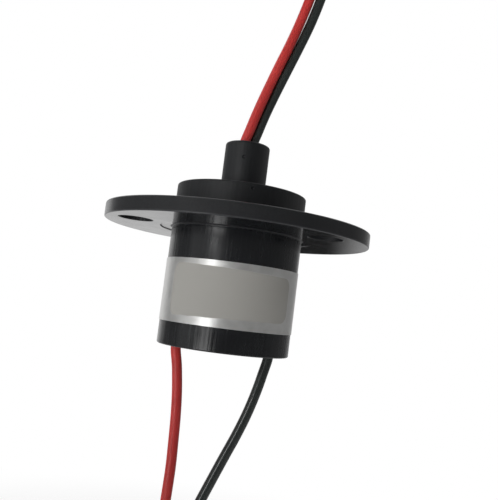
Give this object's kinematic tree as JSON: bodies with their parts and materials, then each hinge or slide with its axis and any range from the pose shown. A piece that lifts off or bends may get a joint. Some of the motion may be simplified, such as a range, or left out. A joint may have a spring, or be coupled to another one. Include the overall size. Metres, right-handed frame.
{
  "type": "capsule slip ring",
  "caption": "Black capsule slip ring: a round flanged housing with a foil label, a rotor stub that turns in it, and a red and a black lead at each end.",
  "frame": {"origin": "centre of the flange's underside, on the spin axis, in the middle of the screw holes", "axes": "+Z along the spin axis towards the rotor stub; +X towards the stator's black lead, -X towards its red lead; -Y is the front"},
  "size_m": [0.0444, 0.0444, 0.1384],
  "materials": {
    "moulding": "satin black moulding, polished face under the flange",
    "foil": "silver foil label with a plain warm grey panel",
    "contact_gold": "gold plated contact metal",
    "bearing_steel": "ground bearing steel",
    "nylon": "natural nylon",
    "board": "green laminate",
    "resin": "cured resin",
    "lead_red": "red insulation, satin",
    "lead_black": "black insulation, satin",
    "tie": "black nylon cable tie"
  },
  "bodies": {
    "stator": {"housing": "moulding", "bottom_cap": "moulding", "label": "foil", "upper_bearing_outer_ring": "bearing_steel", "upper_bearing_shield": "bearing_steel", "lower_bearing_outer_ring": "bearing_steel", "lower_bearing_shield": "bearing_steel", "brush_board_1": "board", "brush_board_2": "board", "brush_1": "contact_gold", "brush_2": "contact_gold", "stator_tail_red": "lead_red", "stator_tail_black": "lead_black", "stator_lead_red": "lead_red", "stator_lead_black": "lead_black", "stator_coil_red": "lead_red", "stator_coil_black": "lead_black", "stator_tie": "tie"},
    "rotor": {"spindle": "moulding", "contact_ring_1": "contact_gold", "contact_ring_2": "contact_gold", "insulator_top": "nylon", "insulator_middle": "nylon", "insulator_bottom": "nylon", "spacer": "bearing_steel", "retaining_clip": "bearing_steel", "sealing_plug": "resin", "upper_bearing_inner_ring": "bearing_steel", "lower_bearing_inner_ring": "bearing_steel", "rotor_tail_red": "lead_red", "rotor_tail_black": "lead_black", "rotor_lead_red": "lead_red", "rotor_lead_black": "lead_black", "rotor_coil_red": "lead_red", "rotor_coil_black": "lead_black", "rotor_tie": "tie"},
    "upper_cage": {"upper_bearing_balls": "bearing_steel", "upper_bearing_cage": "nylon"},
    "lower_cage": {"lower_bearing_balls": "bearing_steel", "lower_bearing_cage": "nylon"}
  },
  "joints": [
    {"name": "rotor_spin", "type": "hinge", "parent": "stator", "child": "rotor", "pos_m": [0, 0, 0], "axis": [0, 0, 1], "continuous": true},
    {"name": "upper_cage_spin", "type": "hinge", "parent": "stator", "child": "upper_cage", "pos_m": [0, 0, 0.0038], "axis": [0, 0, 1], "continuous": true},
    {"name": "lower_cage_spin", "type": "hinge", "parent": "stator", "child": "lower_cage", "pos_m": [0, 0, -0.0138], "axis": [0, 0, 1], "continuous": true}
  ],
  "couplings": [
    {"joint": "upper_cage_spin", "follows": "rotor_spin", "ratio": 0.43383},
    {"joint": "lower_cage_spin", "follows": "rotor_spin", "ratio": 0.4}
  ]
}
